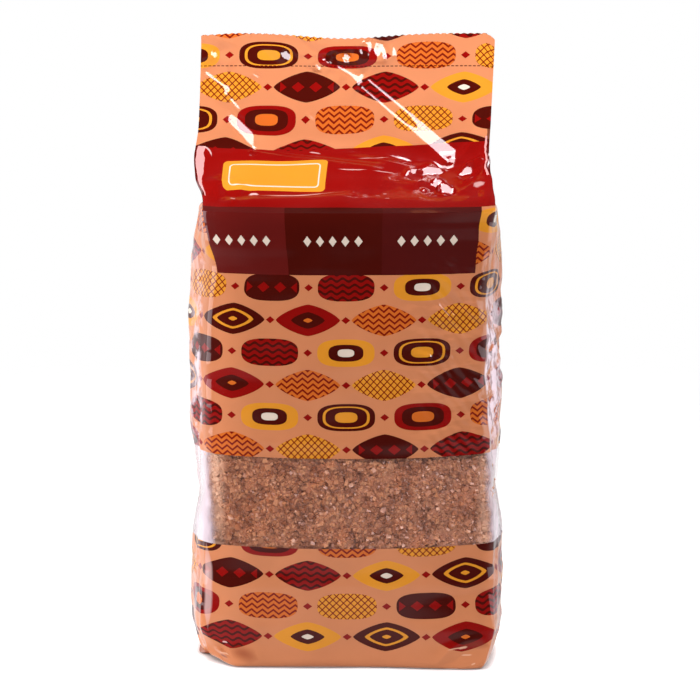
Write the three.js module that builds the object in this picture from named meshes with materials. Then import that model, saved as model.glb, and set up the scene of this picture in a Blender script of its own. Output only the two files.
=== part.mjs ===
// A kilogram bag of brown sugar: a side-gusseted film bag that stands on its block bottom.
// One closed solid: the filled body, the sloping shoulders and the flat sealed fin on top.
// Millimetres, +Z up, the front panel faces -Y, the origin is under the middle of the base.
import * as THREE from 'three';

// ---- driving dimensions ----
const HEIGHT = 232;
const SHOULDER_Z = 169;
const FIN_Z = 191;
const FIN_WIDTH = 108;
const FIN_THICKNESS = 1.6;
const FIN_WAVE = 1.2;

// The four upright creases between the front, the back and the two gusset panels.
const CREASE_X = 51.5;
const CREASE_Y = 23.5;
const SHOULDER_CREASE_X = 53;
const SHOULDER_CREASE_Y = 23;

// How far the front and back belly out between their creases, and the share of it that is left
// at the base and at the shoulder.
const FRONT_BELLY = 11.5;
const FULLEST_Z = 62;
const BELLY_AT_BASE = 0.2;
const BELLY_AT_SHOULDER = 0.74;

// The block bottom is squarer than the body: its creases stand this much further apart, front to
// back, up to this height.
const BASE_FLARE_Y = 3;
const BASE_FLARE_Z = 40;

// How far the gussets belly out, and the share of it that is left at the base and at the shoulder.
const GUSSET_BELLY = 6;
const GUSSET_BELLY_AT_BASE = 0.35;
const GUSSET_FULLEST_Z = 25;
const GUSSET_BELLY_AT_SHOULDER = 0.4;

// The rounded turn from the walls into the flat base: its height and how far each size draws in.
const BASE_TURN = 4;
const BASE_TUCK_X = 2;
const BASE_TUCK_Y = 2;

// The turn from the walls into the shoulders starts this far below them.
const SHOULDER_TURN = 12;

// How deep the gusset tucks in between the two ears of the shoulders.
const EAR_TUCK = 13;

// ---- how finely the solid is faceted ----
const PANEL_STEPS = 16;
const GUSSET_STEPS = 6;
const AROUND = 2 * (PANEL_STEPS + GUSSET_STEPS);
const BASE_STEPS = 4;
const WALL_STEPS = 16;
const SHOULDER_STEPS = 10;
const FIN_STEPS = 6;

const { lerp, smoothstep, clamp } = THREE.MathUtils;

/** Share of the front belly at height z: fullest low down, slacker at the base and the shoulder. */
function bellyAt(z) {
  if (z < FULLEST_Z) {
    return lerp(BELLY_AT_BASE, 1, smoothstep(z, 0, FULLEST_Z));
  }
  return lerp(1, BELLY_AT_SHOULDER, smoothstep(z, FULLEST_Z, SHOULDER_Z));
}

/** How far the walls have turned in under the bag at height z: 1 at the base, 0 above the turn. */
function baseTurnAt(z) {
  const up = clamp(z / BASE_TURN, 0, 1);
  return 1 - Math.sqrt(1 - (1 - up) ** 2);
}

/** The sizes of the bag's section at height z. */
function sectionAt(z) {
  const turn = baseTurnAt(z);
  const toShoulder = smoothstep(z, SHOULDER_Z - SHOULDER_TURN, SHOULDER_Z);
  const roof = clamp((z - SHOULDER_Z) / (FIN_Z - SHOULDER_Z), 0, 1);
  const open = 1 - roof;
  const half = FIN_THICKNESS / 2;
  const bodyCreaseX = lerp(CREASE_X, SHOULDER_CREASE_X, toShoulder);
  const baseFlare = BASE_FLARE_Y * (1 - smoothstep(z, 0, BASE_FLARE_Z));
  const bodyCreaseY = lerp(CREASE_Y, SHOULDER_CREASE_Y, toShoulder) + baseFlare;
  const gussetShare = lerp(GUSSET_BELLY_AT_BASE, 1, smoothstep(z, 0, GUSSET_FULLEST_Z));
  const gussetBelly = GUSSET_BELLY * gussetShare * lerp(1, GUSSET_BELLY_AT_SHOULDER, toShoulder);
  const tuck = EAR_TUCK * open * Math.sin(Math.PI * roof);
  return {
    creaseX: lerp(bodyCreaseX - BASE_TUCK_X * turn, FIN_WIDTH / 2 - half, roof),
    creaseY: lerp(bodyCreaseY - BASE_TUCK_Y * turn, half, roof),
    frontBelly: FRONT_BELLY * bellyAt(z) * open,
    gussetBelly: lerp(gussetBelly, half, roof) - tuck,
  };
}

/** The fin waves gently from front to back, more towards its top edge. */
function finWaveAt(x, z) {
  const share = smoothstep(z, SHOULDER_Z, HEIGHT);
  return FIN_WAVE * share * Math.cos(3 * Math.PI * x / FIN_WIDTH);
}

/** A point of the section: step 0 is the middle of the left gusset, then front, right and back. */
function pointAt(step, z) {
  const { creaseX, creaseY, frontBelly, gussetBelly } = sectionAt(z);
  const half = AROUND / 2;
  const atBack = step > half;
  const along = atBack ? AROUND - step : step;
  const fromTip = Math.min(along, half - along);
  const side = along < half / 2 ? -1 : 1;
  let x;
  let y;
  if (fromTip <= GUSSET_STEPS / 2) {
    const across = fromTip / (GUSSET_STEPS / 2);
    x = side * (creaseX + gussetBelly * (1 - across ** 2));
    y = creaseY * across;
  } else {
    const across = 1 - (fromTip - GUSSET_STEPS / 2) / (PANEL_STEPS / 2);
    x = side * creaseX * across;
    y = creaseY + frontBelly * (1 - across ** 2);
  }
  return new THREE.Vector3(x, (atBack ? y : -y) + finWaveAt(x, z), z);
}

/** Heights of the section rings, closer together where the form turns. */
function ringHeights() {
  const heights = [0];
  for (let i = 1; i <= BASE_STEPS; i += 1) {
    heights.push(BASE_TURN * (1 - Math.cos(0.5 * Math.PI * i / BASE_STEPS)));
  }
  const zones = [
    [BASE_TURN, SHOULDER_Z - SHOULDER_TURN, WALL_STEPS],
    [SHOULDER_Z - SHOULDER_TURN, FIN_Z, SHOULDER_STEPS],
    [FIN_Z, HEIGHT, FIN_STEPS],
  ];
  for (const [low, high, steps] of zones) {
    for (let i = 1; i <= steps; i += 1) {
      heights.push(lerp(low, high, i / steps));
    }
  }
  return heights;
}

/** Joins the rings into walls, and closes the base and the top edge by strips across the bag. */
function loftRings(heights) {
  const points = [];
  for (const z of heights) {
    for (let step = 0; step < AROUND; step += 1) {
      points.push(pointAt(step, z));
    }
  }
  const faces = [];
  for (let ring = 0; ring < heights.length - 1; ring += 1) {
    for (let step = 0; step < AROUND; step += 1) {
      const a = ring * AROUND + step;
      const b = ring * AROUND + (step + 1) % AROUND;
      faces.push(a, b, b + AROUND, a, b + AROUND, a + AROUND);
    }
  }
  const top = (heights.length - 1) * AROUND;
  for (let step = 0; step < AROUND / 2; step += 1) {
    const back = (AROUND - step) % AROUND;
    const nextBack = AROUND - step - 1;
    if (step > 0) {
      faces.push(step, back, step + 1);
      faces.push(top + step, top + step + 1, top + back);
    }
    if (step < AROUND / 2 - 1) {
      faces.push(step + 1, back, nextBack);
      faces.push(top + step + 1, top + nextBack, top + back);
    }
  }
  const geometry = new THREE.BufferGeometry().setFromPoints(points);
  geometry.setIndex(faces);
  geometry.computeVertexNormals();
  return geometry;
}

const printedFilm = new THREE.MeshStandardMaterial({
  name: 'printed_film',
  color: 0xe09a68,
  roughness: 0.25,
  metalness: 0,
});

const bag = new THREE.Mesh(loftRings(ringHeights()), printedFilm);
bag.name = 'bag';

const sugarBag = new THREE.Group();
sugarBag.add(bag);

export default sugarBag;
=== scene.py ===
"""A kilogram bag of brown sugar: a printed side-gusseted film bag on its block bottom, with a clear
band round the filled body. The film is cut as flat panels and wrapped round the filled form, with
the folds and creases that it takes from filling and sealing."""

import math
from functools import partialmethod

import bpy
import numpy as np
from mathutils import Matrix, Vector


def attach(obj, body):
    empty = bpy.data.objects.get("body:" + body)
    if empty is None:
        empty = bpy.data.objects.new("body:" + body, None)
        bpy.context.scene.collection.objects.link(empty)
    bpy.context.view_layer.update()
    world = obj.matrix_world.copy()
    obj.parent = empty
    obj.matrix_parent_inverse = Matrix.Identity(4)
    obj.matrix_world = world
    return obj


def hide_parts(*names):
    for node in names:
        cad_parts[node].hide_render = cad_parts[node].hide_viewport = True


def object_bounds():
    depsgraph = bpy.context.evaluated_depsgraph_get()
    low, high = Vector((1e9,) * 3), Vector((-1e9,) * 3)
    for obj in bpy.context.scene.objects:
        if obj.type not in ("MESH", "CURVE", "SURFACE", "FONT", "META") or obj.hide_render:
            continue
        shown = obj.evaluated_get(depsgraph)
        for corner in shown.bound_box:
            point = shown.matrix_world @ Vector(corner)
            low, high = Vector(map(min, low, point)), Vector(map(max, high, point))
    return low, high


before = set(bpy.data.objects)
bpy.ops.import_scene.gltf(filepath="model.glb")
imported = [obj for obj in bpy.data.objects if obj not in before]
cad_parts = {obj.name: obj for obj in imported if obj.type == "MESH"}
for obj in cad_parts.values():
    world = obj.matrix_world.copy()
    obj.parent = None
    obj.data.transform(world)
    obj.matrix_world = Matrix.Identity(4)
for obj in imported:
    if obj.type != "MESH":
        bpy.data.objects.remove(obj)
cad_low, cad_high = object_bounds()

# ---- Sizes, in millimetres unless a name says otherwise ----
MM = 0.001
HEIGHT = cad_high.z / MM
SHOULDER_Z = 169.0
FIN_Z = 191.0

# The film as cut: half a front panel, half a gusset, the way round from the middle of the front to
# that of the back, and the length up the sloping shoulder. Its top edge is cut in small teeth and
# stands a little higher than the bag, since the fin's edge dips.
FRONT_HALF = 54.0
GUSSET_HALF = 26.0
HALF_ROUND = 2 * (FRONT_HALF + GUSSET_HALF)
ROOF_FILM = 34.0
FIN_UP = SHOULDER_Z + ROOF_FILM
FILM_TOP = FIN_UP + HEIGHT - FIN_Z + 0.9
TOOTH_PITCH = 2.5
TOOTH_DEPTH = 0.24
TOOTH_BACK = 0.4

# The size of the film's faces. So many rows of the front's upper sheet put one of them just on the
# fold of the shoulder.
FILM_STEP = 0.8
FRONT_ROWS = 302

# The upright creases between the panels, and how far each side of the bag reaches, up its height.
LEFT_CREASE = ((0, 54.0), (14, 54.5), (60, 52.0), (120, 51.6), (147, 49.2), (158, 51.0),
               (168, 52.0), (173, 51.0), (180, 55.0), (187, 55.6), (197, 54.0), (210, 53.8),
               (232, 54.0))
RIGHT_CREASE = ((0, 50.2), (14, 54.5), (60, 54.0), (110, 51.0), (130, 51.2), (150, 52.0),
                (165, 53.8), (174, 55.6), (183, 53.4), (190, 53.6), (200, 54.0), (232, 54.0))
LEFT_REACH = ((0, 55.0), (12, 58.6), (25, 58.8), (46, 58.6), (54, 58.2), (61, 55.6), (74, 56.2),
              (90, 58.2), (150, 58.3), (160, 55.6), (168, 52.6), (180, 56.0))
RIGHT_REACH = ((0, 54.6), (8, 57.4), (25, 59.2), (46, 58.8), (60, 56.8), (74, 56.6), (90, 57.2),
               (120, 57.5), (150, 57.4), (165, 57.0), (173, 56.2), (180, 54.8))
SIDEWAYS = ((0, 0), (80, -0.3), (150, -0.6), (184, -1.3), (200, -1.0), (232, 0.4))
CREASE_Y = ((0, 28.5), (8, 26.5), (40, 23.5), (160, 23.5), (169, 23.0))
FRONT_BELLY = ((0, 0.8), (10, 4.0), (30, 8.6), (62, 11.4), (110, 10.6), (150, 9.2), (169, 8.4))
BELLY_ROUNDNESS = 2.3
EDGE_ROUND = ((0, 1.0), (12, 2.2), (150, 2.4), (180, 2.4), (186, 1.2), (190, 0.2), (193, 0))
FIN_HALF_DEPTH = 0.7
FIN_TOP_HALF_DEPTH = 0.45
BASE_TURN = 3.5
BASE_TUCK = 2.0
LEAST_GUSSET_BELLY = 0.6

# Small kinks along the upright creases, at the left and at the right.
LEFT_KINKS = 0.12
RIGHT_KINKS = 0.2

# The print, up the film from the base: its motifs, the clear band, the dark field, the red
# shoulder and the tear line.
MOTIFS_FROM = 6.6
MOTIFS_SHIFT = 406.0
MOTIF_PITCH = 29.0
MOTIF_ROW = 11.8
LOZENGE_HALF = (12.3, 5.7)
OVAL_HALF = (10.9, 5.0)
WINDOW_LOW = 46.3
WINDOW_HIGH = 80.0
FIELD_LOW = 146.8
FIELD_HIGH = 171.7
RED_HIGH = FIN_UP - 0.5
TEAR_LINE = FIN_UP + 29.7
DASH_PITCH = 1.6
DASH_LENGTH = 1.05

# The dark field's ends, its slant at the left, the two places where its tone changes, and the rows
# of diamonds on it.
FIELD_LEFT = -54.0
FIELD_RIGHT = 48.9
FIELD_SLANT = 0.12
FIELD_SPLITS = (-22.5, 13.5)
DIAMONDS_MIDDLE = -4.7
DIAMONDS_UP = 159.0
DIAMONDS_HALF = 11.4
DIAMONDS_PITCH = 34.8
DIAMOND_PITCH = 4.8
DIAMOND_HALF = (1.5, 1.9)

# The bare label on the shoulder: its middle, its lean, and the square-cornered cores that it and the
# line round it are rounded off from.
LABEL_MIDDLE = (-25.2, 188.0)
LABEL_LEAN = 0.1
LABEL_CORE = (17.0, 6.0)
LABEL_LINE_CORE = (14.8, 4.2)

# The seal down the back. Its print starts a little off the back's, and its clear part is milky, as
# the film is near a crease.
SEAL_WIDTH = 11.0
SEAL_OFF_MIDDLE = 3.0
SEAL_LIFT = 0.35
SEAL_PRINT = HALF_ROUND + 6
SEAL_MILKY = HALF_ROUND + 53
SEAL_MILKY_STRETCH = 0.2

# The sugar inside: its gap to the film where it shows, where the band begins and where it is hidden,
# how much nearer it comes to the creases, low and high in the band at the left, and its crystals.
SUGAR_GAP = 1.3
SUGAR_GAP_LOW = 0.6
SUGAR_GAP_HIDDEN = 4.5
SUGAR_RIGHT_NEARER = 0.5
SUGAR_LEFT_NEARER = (-2.6, 0.6)
SUGAR_TOP = 160.0
SUGAR_SIDE_BELLY = 1.8
SUGAR_ROUND = 304.0
GRAIN_PITCH = 0.83
GRAIN_SIZE = 1.06
GRAIN_SPREAD = 0.28
GRAIN_SEED = 2024


def smooth(x, start, end):
    """0 up to start, 1 from end on, an S-curve between. The end may be the lower of the two."""
    t = np.clip((x - start) / (end - start), 0, 1)
    return t * t * (3 - 2 * t)


def within(x, start, full, fading, end):
    """0 outside start and end, 1 from full to fading."""
    return smooth(x, start, full) * smooth(x, end, fading)


def blend(a, b, share):
    return a + (b - a) * share


def bump(x, middle, spread):
    """A smooth hump of height 1."""
    return np.exp(-(((x - middle) / spread) ** 2))


def run_up(z, knots, ease=5.0):
    """A size that changes up the bag, through (height, size) knots, eased round each of them."""
    step = 0.5
    fine = np.arange(-20, 260, step)
    heights, sizes = zip(*knots)
    reach = round(ease / step)
    kernel = np.hanning(2 * reach + 3)[1:-1]
    padded = np.pad(np.interp(fine, heights, sizes), reach, "edge")
    eased = np.convolve(padded, kernel / kernel.sum(), "valid")
    return np.interp(z, fine, eased)


def soft_ramp(x, half):
    """0 below, x above, with a bend of the given half length instead of a corner."""
    middle = (np.clip(x, -half, half) + half) ** 2 / (4 * half)
    return np.where(x > half, x, middle)


# ---- Folds and creases, as heights over a panel laid flat: x across, z up ----
def along_line(x, z, start, end):
    """How far along a line from 0 to 1, and how far off it to its upper side in millimetres."""
    run = (end[0] - start[0], end[1] - start[1])
    length = math.hypot(*run)
    along = ((x - start[0]) * run[0] + (z - start[1]) * run[1]) / length**2
    off = ((z - start[1]) * run[0] - (x - start[0]) * run[1]) / length
    return along, off


def pleat(x, z, start, end, half_width, line, merge, slope, spread, tips):
    """A stretched fold whose upper side lies lower than its lower side. It goes down in two slopes
    along its edges, each as wide as line. Over merge, a stretch of its length, they widen until
    they meet. spread is how far off it the film lies level again, tips how long its ends are."""
    along, off = along_line(x, z, start, end)
    wide = half_width * (0.85 + 0.15 * np.clip(along, 0, 1))
    each = blend(line, wide, smooth(along, *merge))
    down = np.clip(off + wide, 0, each) + np.clip(off - wide + each, 0, each)
    ends = within(along, -tips[0], tips[0], 1 - tips[1], 1 + 0.5 * tips[1])
    return slope * (each - down) * ends * np.exp(-((off / spread) ** 2))


def gather(x, z, middle, reach, height):
    """Folds that run together into a point, as where film is pinched."""
    turn = np.arctan2(z - middle[1], x - middle[0])
    away = np.hypot(x - middle[0], z - middle[1]) / reach
    folds = np.abs((turn * 1.273 + 0.3 * np.sin(turn * 2 + 1) + away * 0.4) % 1 - 0.5) * 4 - 1
    return height * folds * within(away, 0.05, 0.45, 0.5, 1.0)


def dents(x, z, places, lean):
    """Small flats in crushed film that all lean the same way, and how far they cover the film. A
    place is x, z, half its length and half its width, and its turn from level in degrees."""
    height, cover = np.zeros_like(x), np.zeros_like(x)
    for middle_x, middle_z, half_length, half_width, turn in places:
        cosine, sine = math.cos(math.radians(turn)), math.sin(math.radians(turn))
        dx, dz = x - middle_x, z - middle_z
        along, off = dx * cosine + dz * sine, dz * cosine - dx * sine
        away = np.hypot(along / half_length, off / half_width)
        inside = smooth(away, 1.1, 0.65)
        height += (lean[0] * dx + lean[1] * dz) * inside
        cover = np.maximum(cover, inside)
    return height, cover


def beside(x, z, start, end, half_width):
    """1 on a strip from start to end, fading to 0 beside it."""
    along, off = along_line(x, z, start, end)
    return within(along, -0.15, 0, 1, 1.15) * smooth(np.abs(off), half_width + 1.5, half_width)


def patch(x, z, middle, size):
    """1 inside an oval patch, fading to 0 outside it."""
    away = np.hypot((x - middle[0]) / size[0], (z - middle[1]) / size[1])
    return smooth(away, 1.0, 0.5)


def facets(x, z, seed, pitch, depth, long=1.0, turn=0.0):
    """Flat three-sided facets that meet in creases, as crushed film has. long draws them out, along
    a direction turned this many degrees from upright."""
    table = np.random.default_rng(seed).uniform(-1, 1, (64, 64))
    cosine, sine = math.cos(math.radians(turn)), math.sin(math.radians(turn))
    a = (x * cosine - z * sine) / pitch
    b = (z * cosine + x * sine) / (pitch * long)
    a = a + 0.3 * np.sin(1.9 * b + seed)
    b = (b + 0.3 * np.sin(1.7 * a + 2 * seed)) / 0.866 + 64
    a = a - 0.5 * b + 128
    i, j = np.floor(a).astype(int), np.floor(b).astype(int)
    a, b = a - i, b - j
    right, high = table[(i + 1) % 64, j % 64], table[i % 64, (j + 1) % 64]
    near = table[i % 64, j % 64] * (1 - a - b) + right * a + high * b
    far = table[(i + 1) % 64, (j + 1) % 64] * (a + b - 1) + right * (1 - b) + high * (1 - a)
    return depth * np.where(a + b > 1, far, near)


def crushed_film(x, z, places):
    """Patches of facets. A place is the seed, pitch, depth, length and turn of the facets, and the
    middle and half sizes of the patch."""
    height = np.zeros_like(x)
    for seed, pitch, depth, long, turn, middle, size in places:
        height += facets(x, z, seed, pitch, depth, long, turn) * patch(x, z, middle, size)
    return height


def ripple(x, z, seed, pitch, depth, waves=6):
    """Soft uneven waves, as tight film has over what it holds."""
    draw = np.random.default_rng(seed)
    field = np.zeros_like(x)
    for _ in range(waves):
        turn, shift = draw.uniform(0, 2 * math.pi, 2)
        length = pitch * draw.uniform(0.7, 1.6)
        along = x * math.cos(turn) + z * math.sin(turn)
        field += np.sin(2 * math.pi * along / length + shift)
    return depth * field / math.sqrt(waves)


# What pleat takes: first the fin's pleats, then the shoulder's, whose two slopes never meet.
FIN_PLEATS = (
    ((3.5, 217), (41.5, 186.5), 2.7, 1.15, (0.5, 0.66), 0.5, 18, (0.05, 0.05)),
    ((-4, 220.8), (6.5, 215), 1.2, 1.2, (0.0, 0.1), 0.5, 7, (0.1, 0.1)),
    ((-53, 218.8), (-41.5, 211), 1.0, 1.0, (0.0, 0.1), 0.54, 6, (0.12, 0.2)),
    ((-45, 211.4), (-37, 202.8), 0.9, 0.9, (0.0, 0.1), 0.54, 6, (0.12, 0.3)),
    ((-45.5, 204.6), (-31.5, 191.5), 2.3, 2.3, (0.0, 0.1), 0.54, 9, (0.25, 0.3)),
)
ROOF_PLEATS = (
    ((-38, 202), (14, 193), 1.6, 0.9, (2.0, 3.0), 0.8, 6, (0.12, 0.08)),
    ((2, 200), (26, 195), 1.2, 0.7, (2.0, 3.0), 0.7, 5, (0.12, 0.08)),
    ((-42, 176), (2, 179), 1.2, 0.7, (2.0, 3.0), 0.7, 5, (0.12, 0.08)),
)

# What dents takes: the places, and which way they lean.
FIN_DENTS = (
    (-48.8, 224.9, 1.8, 1.4, 80),
    (-22.6, 224.7, 3.0, 2.3, 0),
    (-33.4, 217.0, 2.6, 1.2, -25),
    (-10.6, 220.2, 2.2, 1.5, -40),
    (-12.2, 201.6, 2.2, 1.1, -50),
    (-0.4, 225.0, 2.6, 2.0, -40),
)
FIN_LEAN = (-0.35, -0.37)
ROOF_DENTS = (
    (25.8, 188.8, 4.0, 3.0, 0),
    (31.4, 191.4, 6.6, 1.9, 16),
    (34.4, 186.2, 3.0, 1.6, 20),
    (37.4, 181.8, 4.0, 3.0, -40),
    (47.0, 193.2, 6.6, 3.3, 42),
    (29.2, 180.6, 1.6, 1.3, 40),
    (-33.6, 199.0, 2.2, 1.2, 10),
)
ROOF_LEAN = (-0.2, 0.6)
FOOT_DENTS = ((-46.5, 2.6, 5.0, 2.0, -32),)
FOOT_LEAN = (0.1, 0.9)

# What crushed_film takes: along the fin's top, on the shoulder, and on the body with its two feet.
FIN_CRUSHED = (
    (11, 4.4, 1.1, 1.8, -52, (-6, 225), (34, 9)),
    (12, 2.4, 0.3, 1.5, -50, (-6, 225), (34, 9)),
    (13, 3.0, 1.1, 1.6, -54, (-7, 222), (13, 6)),
    (14, 4.0, 0.9, 1.5, -46, (-47, 223), (10, 7)),
)
ROOF_CRUSHED = (
    (23, 8.0, 1.6, 1.3, 50, (37, 187), (18, 13)),
    (24, 3.6, 0.35, 1.3, 50, (37, 187), (18, 13)),
    (25, 5.0, 0.9, 1.3, 30, (-43, 180), (12, 9)),
)
BODY_CRUSHED = (
    (27, 3.6, 0.6, 2.4, -48, (40, 118), (15, 44)),
    (31, 6.0, 1.2, 1.6, 75, (44, 5), (16, 9)),
    (37, 7.0, 1.2, 1.4, -35, (-46, 9), (13, 12)),
)


def fin_relief(x, z):
    """How far the layers of the fin stand forward together: a slow wave, pleats, and film gathered,
    dented, crushed and crimped along the seal."""
    up = z - FIN_Z
    height = 0.9 * np.cos(3 * math.pi * x / (2 * FRONT_HALF)) * smooth(up, 0, HEIGHT - FIN_Z)
    height += ripple(x, z, 3, 34, 0.25)
    for sizes in FIN_PLEATS:
        height += pleat(x, z, *sizes)
    flats, cover = dents(x, z, FIN_DENTS, FIN_LEAN)
    calm = 1 - np.maximum(cover, beside(x, z, (-4, 220.8), (10, 212), 1.6))
    height += flats + gather(x, z, (-3, 221), 10, 0.4) * calm
    height += crushed_film(x, z, FIN_CRUSHED) * calm
    crimps = 0.1 * np.sin(2 * math.pi * x / 3.1) + facets(x, z, 18, 2.8, 0.6, 2.2, 8)
    height += (crimps - 0.3 * (z - 227)) * patch(x, z, (11, 227), (9, 6))
    return height + facets(x, z, 17, 6.0, 0.5, 1.8, -50) * smooth(z, 219, 228) * calm


def front_relief(x, up):
    """How far the front panel stands proud of its plain form, below the fin: soft waves, slanting
    folds at the right, and on the shoulder pleats, dents and crushed film."""
    roof = within(up, SHOULDER_Z, SHOULDER_Z + 6, FIN_UP - 4, FIN_UP + 4)
    body = smooth(up, SHOULDER_Z + 2, SHOULDER_Z - 6)
    height = (ripple(x, up, 5, 38, 0.3) + ripple(x, up, 6, 9, 0.03)) * body
    wander = ripple(x, up, 7, 20, 0.9)
    streaks = np.sin(2 * math.pi * (up * 0.6 + x * 0.8 + wander) / 3.6)
    height += (0.15 + 0.05 * wander) * streaks * patch(x, up, (40, 112), (17, 52))
    height += crushed_film(x, up, BODY_CRUSHED)
    flats, cover = dents(x, up, ROOF_DENTS, ROOF_LEAN)
    height += flats + crushed_film(x, up, ROOF_CRUSHED) * roof * (1 - cover)
    height += ripple(x, up, 29, 26, 0.25) * roof
    for sizes in ROOF_PLEATS:
        height += pleat(x, up, *sizes) * roof
    return height + dents(x, up, FOOT_DENTS, FOOT_LEAN)[0]


def gusset_relief(across, up, side):
    """How far a gusset stands out from its plain form, below the fin. The right one is slackest
    half way up. A shallow crease runs up the middle of both."""
    loose = 0.8 if side < 0 else 0.8 + 1.3 * bump(up, 112, 28)
    height = facets(across, up, 41 + side, 7, loose, 2.2)
    height += facets(across, up, 51 + side, 3.2, 0.35 * loose, 1.5, 20)
    return height - 0.7 * np.exp(-np.abs(across) / 1.8)


def crease_wobble(up, seed, depth):
    """Small kinks along an upright crease."""
    draw = np.random.default_rng(seed)
    field = np.zeros_like(up)
    middle_length = 23
    for length in (9, 14, middle_length, 37):
        kinks = np.abs((up / length + draw.uniform()) % 1 - 0.5) * 4 - 1
        field += kinks * length / middle_length
    return depth * field * within(up, 2, 14, FIN_UP - 8, FIN_UP)


# ---- The form of the filled bag ----
def rise(up, shorter=0.0):
    """Height of a point up the film, and how far it is up the sloping shoulder, from 0 to 1, where
    the slope may be so much shorter than its plain length."""
    length = ROOF_FILM - shorter
    on_roof = soft_ramp(up - SHOULDER_Z, 0.02) - soft_ramp(up - SHOULDER_Z - length, 5.0)
    roof = np.clip(on_roof / length, 0, 1)
    return up - (SHOULDER_Z + ROOF_FILM - FIN_Z) * roof, roof


def section(up, side):
    """Crease place, front belly and gusset belly of the left (side -1) or right (side 1) half."""
    z, roof = rise(up)
    closed = 1 - (1 - roof) ** 1.12
    turn = BASE_TUCK * (1 - np.sqrt(1 - (1 - np.clip(z / BASE_TURN, 0, 1)) ** 2))
    crease_x = run_up(z, LEFT_CREASE if side < 0 else RIGHT_CREASE)
    reach = run_up(z, LEFT_REACH if side < 0 else RIGHT_REACH)
    fin_depth = blend(FIN_HALF_DEPTH, FIN_TOP_HALF_DEPTH, smooth(z, FIN_Z, HEIGHT))
    crease_y = blend(run_up(z, CREASE_Y), fin_depth, closed)
    belly = run_up(z, FRONT_BELLY) * (1 - closed)
    gusset = np.maximum(reach - crease_x, LEAST_GUSSET_BELLY)
    return crease_x - turn, crease_y - turn - run_up(z, EDGE_ROUND), belly, gusset


def panel_depth(across, up, belly):
    """How far the front or back stands out beyond its creases: its belly and its rounded edges."""
    edge = run_up(rise(up)[0], EDGE_ROUND)
    return belly * (1 - np.abs(across) ** BELLY_ROUNDNESS) + edge * (1 - np.abs(across) ** 20)


def crease(up, side, facing):
    """The crease line where a gusset meets the front (facing -1) or the back (facing 1)."""
    crease_x, crease_y, _, _ = section(up, side)
    loose = LEFT_KINKS if side < 0 else RIGHT_KINKS
    x = side * (crease_x + crease_wobble(up, 60 + side, loose))
    y = facing * (crease_y + crease_wobble(up, 70 + side + facing, loose))
    return x, y


def settle(x, y, z):
    """What happens to the whole bag: its fin's layers stay pressed flat together, the fin's top edge
    dips, the bag stands a little crooked, its front left corner is tucked up and in, and its front
    right foot comes forward."""
    y = y - smooth(z, FIN_Z - 11, FIN_Z - 4) * fin_relief(x, z)
    at_front = smooth(-y, 4, 26)
    left_foot = smooth(-x, 40, 55) * at_front * smooth(z, 16, 0)
    dip = 1.9 * bump(x, -1, 20) + 2.2 * smooth(x, 50.5, 54.5) + 0.7 * smooth(-x, 40, 54)
    z = z + 1.6 * left_foot - dip * smooth(z, HEIGHT - 14, HEIGHT)
    right_foot = smooth(x, 5, 52) * at_front * smooth(z, 45, 0)
    y = y + 9 * left_foot - 4 * right_foot
    return x + run_up(z, SIDEWAYS, 12) + 2 * left_foot, y, z


def front_point(across, up, facing):
    """A point of the front (facing -1) or back (facing 1) panel. across runs from -1 to 1. The
    front's slope is shorter at the right, and the back has the front's folds in other places. A fold
    goes in no further than the gusset that is folded behind it leaves room for."""
    plain_roof = rise(up)[1]
    shorter = 5 * within(across, 0.2, 0.6, 0.88, 1) * (facing < 0)
    z, roof = rise(up, shorter)
    left_x, left_y = crease(up, -1, facing)
    right_x, right_y = crease(up, 1, facing)
    x = np.abs(across) * np.where(across < 0, left_x, right_x)
    belly = section(up, 1)[2]
    y = blend(left_y, right_y, (across + 1) / 2)
    y = (y + facing * panel_depth(across, up, belly)) * (1.03 - roof) / (1.03 - plain_roof)
    tilt = np.radians(48) * smooth(up, SHOULDER_Z - 2, SHOULDER_Z + 2) * smooth(roof, 1, 0.9)
    relief = front_relief(x, up) if facing < 0 else front_relief(-x - 9, up + 1.5)
    inside = smooth(np.abs(across), 1, 0.93) * smooth(roof, 1, 0.9)
    room = 0.3 + 2.7 * (1 - plain_roof) + 4 * smooth(np.abs(across), 0.65, 0.45)
    relief = np.maximum(relief * inside * smooth(up, 0, 3), -room)
    y = y + facing * relief * np.cos(tilt)
    z = z + relief * np.sin(tilt)
    return settle(x, y, z)


def gusset_point(across, up, side):
    """A point of a gusset. across runs from -1 at the front crease to 1 at the back crease. Up the
    shoulder it folds in, and its halves come to lie flat behind the front and the back."""
    z, roof = rise(up)
    front_x, front_y = crease(up, side, -1)
    back_x, back_y = crease(up, side, 1)
    crease_x = blend(front_x, back_x, (across + 1) / 2)
    flatter = 1.5 * smooth(roof, 0.4, 0.8) + 5 * smooth(roof, 0.75, 0.95)
    tucked = across * np.abs(across) ** flatter
    y = blend(front_y, back_y, (tucked + 1) / 2)
    _, crease_y, _, gusset = section(up, side)
    tuck = np.sqrt(np.maximum(GUSSET_HALF**2 - crease_y**2, 0))
    out = blend(gusset, -tuck, smooth(roof, 0.0, 0.5))
    shape = blend(1 - across**2, 1 - np.abs(across), smooth(roof, 0.02, 0.45))
    inside = smooth(np.abs(across), 1, 0.8) * smooth(roof, 0.5, 0.05) * smooth(up, 0, 8)
    relief = gusset_relief(across * GUSSET_HALF, up, side) * inside
    lip = 1.7 * bump(np.abs(across), 0.86, 0.08) * within(roof, 0.1, 0.3, 0.7, 0.95)
    return settle(crease_x + side * (out * shape + relief + lip), y, z)


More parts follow.
